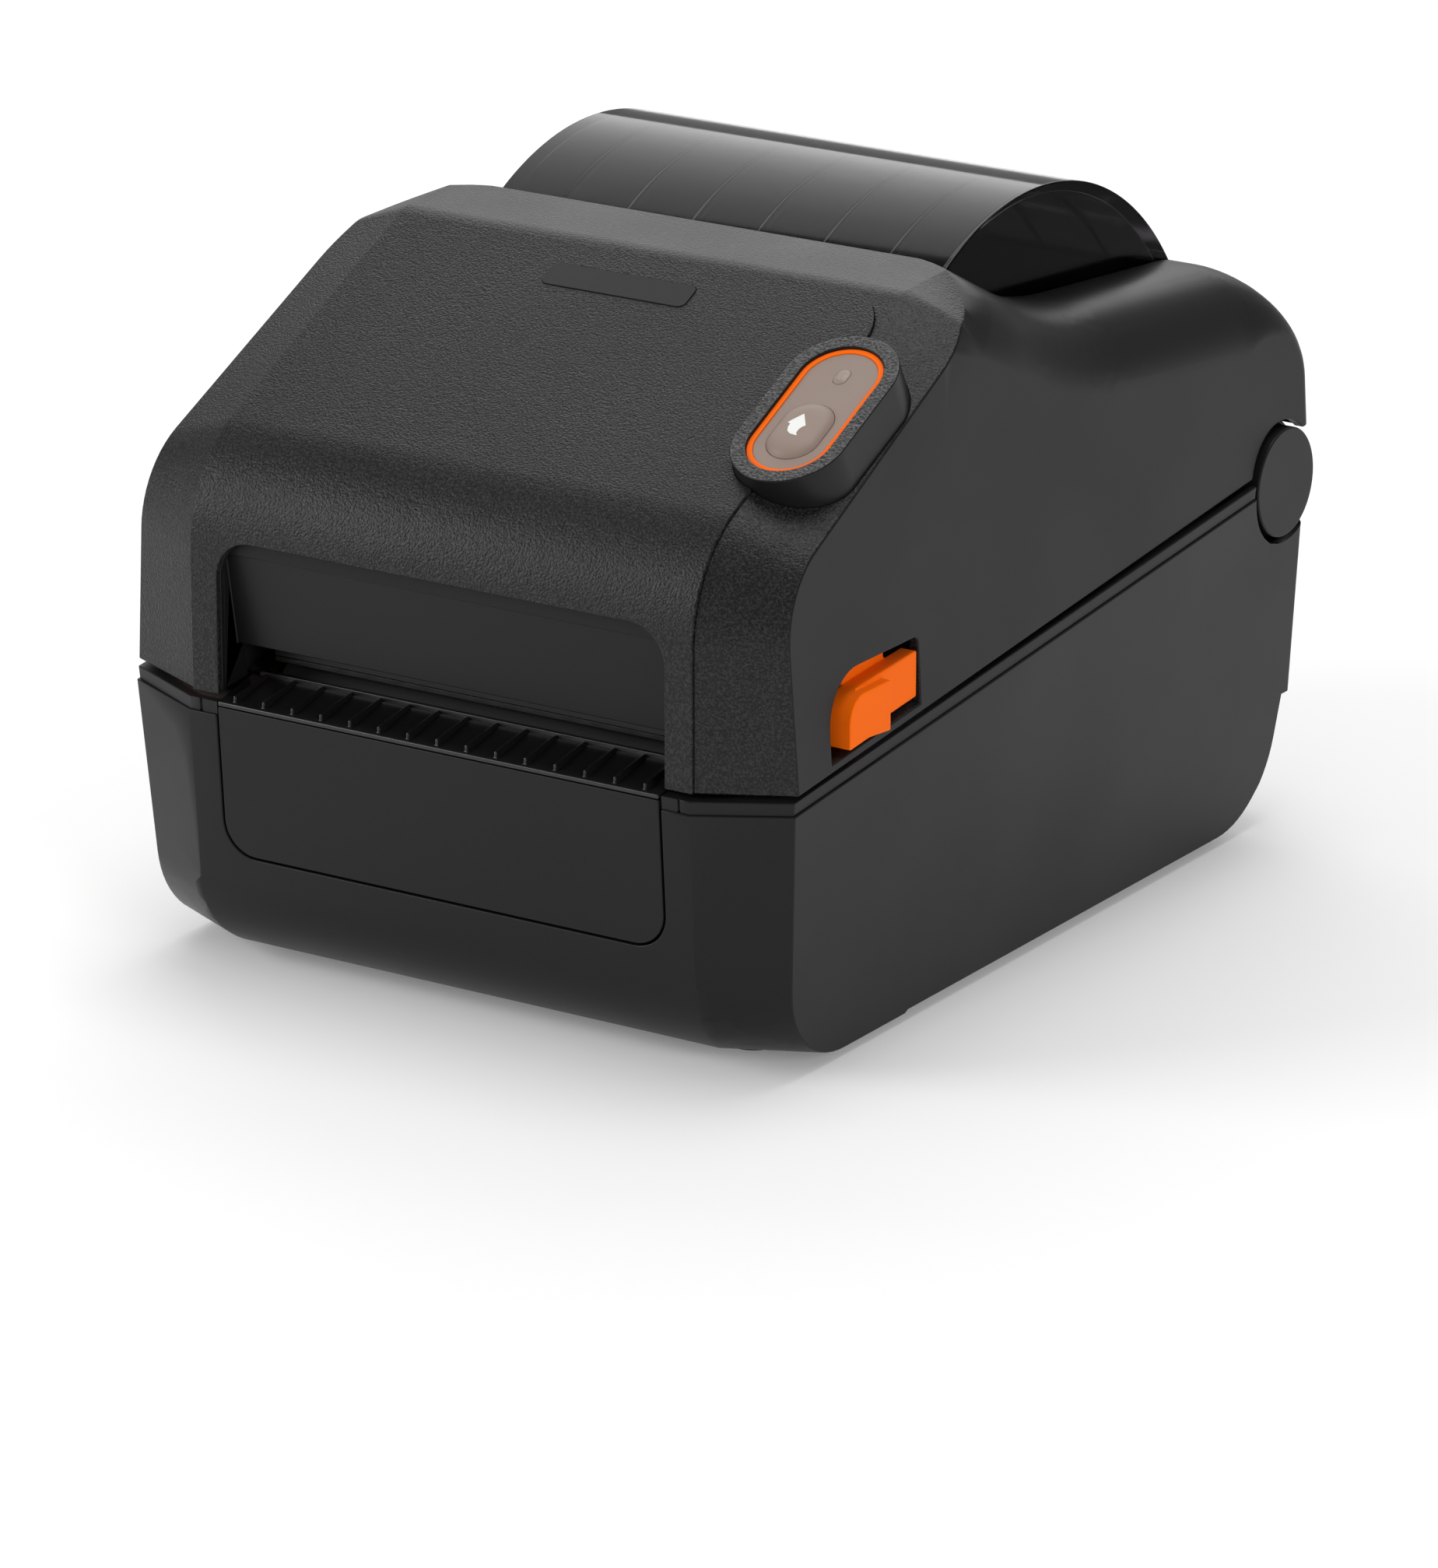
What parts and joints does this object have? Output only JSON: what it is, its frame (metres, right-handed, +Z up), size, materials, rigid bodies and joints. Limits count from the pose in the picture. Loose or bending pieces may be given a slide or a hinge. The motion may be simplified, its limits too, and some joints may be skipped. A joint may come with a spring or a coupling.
{
  "type": "desktop thermal label printer",
  "caption": "Desktop direct thermal label printer with a hinged cover, smoked media window, ribbed label exit, side latch levers, keypad pod, platen drive and sliding roll guides.",
  "frame": {"origin": "on the table under the middle of the printer, at the height of the feet's undersides", "axes": "+X to the printer's right side as seen from its front, +Y to its rear, +Z up"},
  "size_m": [0.1782, 0.2328, 0.1659],
  "materials": {
    "case_black": "satin, fine",
    "grained_black": "leather-like grain",
    "frame_black": "satin",
    "signal_orange": "satin",
    "keypad_grey": "soft touch",
    "badge_dark": "satin",
    "smoked_clear": "smoked, glossy",
    "lamp_lens": "milky",
    "foot_rubber": "matt",
    "roller_rubber": "ground smooth",
    "bright_steel": "bright",
    "sheet_steel": "plated sheet",
    "sink_aluminium": "black anodised",
    "head_ceramic": "dark glaze",
    "board_green": "solder mask",
    "gear_white": "moulded",
    "bush_brass": "sintered",
    "motor_black": "satin",
    "socket_black": "moulded",
    "rocker_black": "gloss"
  },
  "bodies": {
    "base": {"lower_case": "case_black", "front_panel": "case_black", "rubber_feet": "foot_rubber", "case_screws": "bright_steel", "exit_guide": "frame_black", "tear_bar": "bright_steel", "inner_frame": "frame_black", "hinge_pins": "bright_steel", "hinge_cap_right": "case_black", "hinge_cap_left": "case_black", "platen_bushes": "bush_brass", "motor_bracket": "sheet_steel", "drive_motor": "motor_black", "main_board": "board_green", "input_board": "board_green", "usb_socket": "sheet_steel", "power_jack": "socket_black", "switch_frame": "socket_black", "gap_sensor": "socket_black"},
    "cover": {"cover_shell": "case_black", "hood_panel": "grained_black", "badge_plate": "badge_dark", "media_window": "smoked_clear", "exit_visor": "frame_black", "control_pod": "grained_black", "keypad_ring": "signal_orange", "keypad": "keypad_grey", "status_lens": "lamp_lens", "button_board": "board_green", "head_pivot": "bright_steel", "head_mount": "sheet_steel", "head_springs": "bright_steel"},
    "latch": {"latch_lever_right": "signal_orange", "latch_lever_left": "signal_orange", "latch_shaft": "bright_steel"},
    "head": {"print_head": "head_ceramic", "heat_sink": "sink_aluminium", "head_carrier": "sheet_steel"},
    "platen": {"platen_shaft": "bright_steel", "platen_rubber": "roller_rubber", "platen_gear": "gear_white"},
    "idler": {"idler_gear": "gear_white"},
    "motor_rotor": {"motor_pinion": "gear_white"},
    "guide_right": {"media_guide_right": "frame_black"},
    "guide_left": {"media_guide_left": "frame_black"},
    "guide_wheel": {"guide_pinion": "gear_white"},
    "rocker": {"power_rocker": "rocker_black"},
    "button": {"feed_button": "keypad_grey"}
  },
  "joints": [
    {"name": "cover_hinge", "type": "hinge", "parent": "base", "child": "cover", "pos_m": [0, 0.1029, 0.0844], "axis": [-1, 0, 0], "range_deg": [0, 90]},
    {"name": "latch_pull", "type": "hinge", "parent": "cover", "child": "latch", "pos_m": [0, -0.072, 0.1], "axis": [-1, 0, 0], "range_deg": [0, 5.5], "stiffness_Nm_per_rad": 0.6, "springref_deg": -5.73},
    {"name": "head_float", "type": "hinge", "parent": "cover", "child": "head", "pos_m": [0, -0.07, 0.085], "axis": [-1, 0, 0], "range_deg": [0, 2], "stiffness_Nm_per_rad": 0.8, "springref_deg": -22.92, "deforming": ["head_springs"]},
    {"name": "platen_spin", "type": "hinge", "parent": "base", "child": "platen", "pos_m": [0, -0.092, 0.0625], "axis": [1, 0, 0], "continuous": true},
    {"name": "idler_spin", "type": "hinge", "parent": "base", "child": "idler", "pos_m": [-0.069, -0.07256, 0.03933], "axis": [1, 0, 0], "continuous": true},
    {"name": "motor_spin", "type": "hinge", "parent": "base", "child": "motor_rotor", "pos_m": [-0.069, -0.04769, 0.03494], "axis": [1, 0, 0], "continuous": true},
    {"name": "guide_right_slide", "type": "slide", "parent": "base", "child": "guide_right", "axis": [-1, 0, 0], "range_m": [0, 0.046]},
    {"name": "guide_left_slide", "type": "slide", "parent": "base", "child": "guide_left", "axis": [1, 0, 0], "range_m": [0, 0.046]},
    {"name": "guide_wheel_turn", "type": "hinge", "parent": "base", "child": "guide_wheel", "pos_m": [0, -0.052, 0.0625], "axis": [0, 0, 1], "range_deg": [-330, 0]},
    {"name": "rocker_tip", "type": "hinge", "parent": "base", "child": "rocker", "pos_m": [-0.03, 0.1098, 0.043], "axis": [0, 0, 1], "range_deg": [0, 14]},
    {"name": "feed_press", "type": "slide", "parent": "cover", "child": "button", "axis": [0, 0.4393, -0.8983], "range_m": [0, 0.0012], "stiffness_N_per_m": 1500, "springref_m": -0.0004}
  ],
  "couplings": [
    {"joint": "idler_spin", "follows": "platen_spin", "ratio": -0.66667},
    {"joint": "motor_spin", "follows": "platen_spin", "ratio": 1.7143},
    {"joint": "guide_left_slide", "follows": "guide_right_slide", "ratio": 1},
    {"joint": "guide_wheel_turn", "follows": "guide_right_slide", "rad_per_m": -125}
  ]
}
